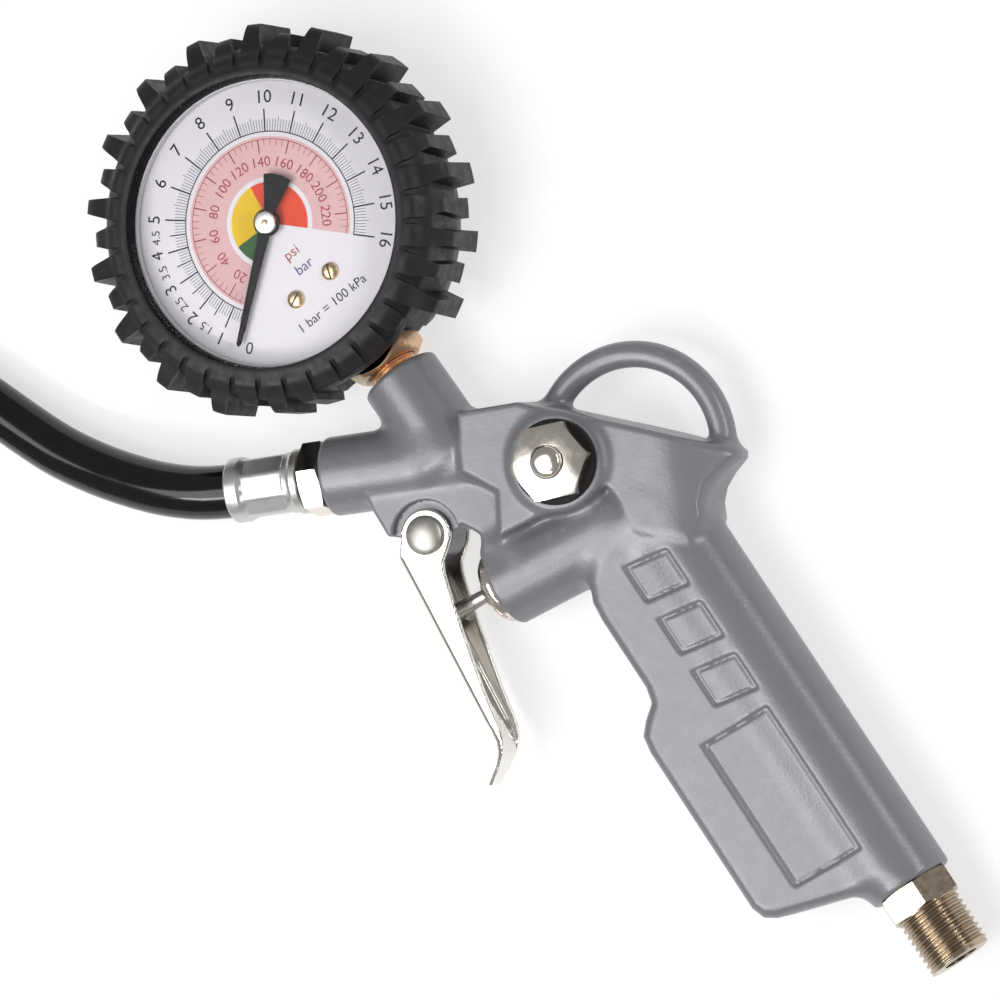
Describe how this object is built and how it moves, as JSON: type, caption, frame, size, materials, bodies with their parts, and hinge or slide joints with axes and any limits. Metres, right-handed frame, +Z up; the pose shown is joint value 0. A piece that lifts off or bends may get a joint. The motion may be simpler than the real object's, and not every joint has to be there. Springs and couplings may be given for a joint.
{
  "type": "tyre inflator with gauge",
  "caption": "Hand-held tyre inflator: grey cast trigger gun with a hook, a rubber-booted dial gauge, a threaded air inlet and a short hose with a clip-on chuck.",
  "frame": {"origin": "centre of the base of the gun's bounding box, hose and chuck left out; the gun lies on its side", "axes": "+Z up, the way the dial faces; +X along the barrel towards the handle; +Y from the handle towards the gauge"},
  "size_m": [0.3494, 0.2238, 0.0279],
  "materials": {
    "cast_grey": "satin grey coating on a die casting",
    "boot_rubber": "matte moulded rubber",
    "hose_rubber": "glossy smooth rubber",
    "seal_rubber": "smooth",
    "window": "clear, polished",
    "bezel_black": "gloss",
    "dial_white": "printed satin white",
    "pointer_black": "satin black",
    "case_black": "satin black",
    "brass": "machined",
    "copper_brass": "bright machined",
    "nickel_plate": "warm nickel plate",
    "trigger_plate": "bright plate on pressed steel",
    "steel": "bright"
  },
  "bodies": {
    "gun": {"gun_body": "cast_grey", "gauge_boot": "boot_rubber", "air_hose": "hose_rubber", "stem_seal": "seal_rubber", "bleed_gasket": "seal_rubber", "chuck_seal": "seal_rubber", "gauge_lens": "window", "gauge_bezel": "bezel_black", "dial_plate": "dial_white", "gauge_case": "case_black", "bourdon_tube": "brass", "hairspring": "brass", "movement_base": "brass", "movement_bridge": "brass", "gauge_socket": "copper_brass", "valve_seat": "brass", "dial_screws": "brass", "chuck_pin": "brass", "valve_spring": "steel", "bleed_spring": "steel", "clip_spring": "steel", "clip_pivot_pin": "steel", "trigger_rivet": "steel", "valve_gland": "nickel_plate", "bleed_bonnet": "nickel_plate", "inlet_adapter": "nickel_plate", "hose_fitting": "nickel_plate", "crimp_ferrule": "nickel_plate", "chuck_ferrule": "nickel_plate", "chuck_body": "nickel_plate", "chuck_nose": "nickel_plate"},
    "trigger": {"trigger_lever": "trigger_plate"},
    "valve": {"valve_stem": "steel", "valve_disc": "seal_rubber"},
    "bleed": {"bleed_button": "nickel_plate", "bleed_disc": "seal_rubber"},
    "sector": {"sector_gear": "brass", "tip_link": "brass"},
    "pointer": {"pinion_shaft": "steel", "pointer": "pointer_black", "pointer_hub": "steel"},
    "chuck_lever": {"chuck_clip": "trigger_plate"}
  },
  "joints": [
    {"name": "trigger_pull", "type": "hinge", "parent": "gun", "child": "trigger", "pos_m": [-0.02031, -0.00415, 0.0095], "axis": [0, 0, 1], "range_deg": [0, 11], "stiffness_Nm_per_rad": 1.5, "springref_deg": -17.19},
    {"name": "valve_lift", "type": "slide", "parent": "gun", "child": "valve", "axis": [0.9455, 0.3256, 0], "range_m": [0, 0.00295], "deforming": ["valve_spring"]},
    {"name": "bleed_press", "type": "slide", "parent": "gun", "child": "bleed", "axis": [0, 0, -1], "range_m": [0, 0.002], "stiffness_N_per_m": 800, "springref_m": -0.003, "deforming": ["bleed_spring"]},
    {"name": "sector_turn", "type": "hinge", "parent": "gun", "child": "sector", "pos_m": [-0.02763, 0.05455, 0.0175], "axis": [0, 0, 1], "range_deg": [0, 26.4], "stiffness_Nm_per_rad": 0.002, "springref_deg": -2.86},
    {"name": "pointer_turn", "type": "hinge", "parent": "gun", "child": "pointer", "pos_m": [-0.04251, 0.06167, 0.0235], "axis": [0, 0, 1], "range_deg": [-264, 0], "deforming": ["hairspring"]},
    {"name": "clip_lift", "type": "hinge", "parent": "gun", "child": "chuck_lever", "pos_m": [-0.21528, -0.10153, 0.0171], "axis": [-0.8988, -0.4384, 0], "range_deg": [0, 12], "stiffness_Nm_per_rad": 0.15, "springref_deg": -17.19, "deforming": ["clip_spring"]}
  ],
  "couplings": [
    {"joint": "valve_lift", "follows": "trigger_pull", "m_per_rad": 0.0153},
    {"joint": "pointer_turn", "follows": "sector_turn", "ratio": -10}
  ]
}
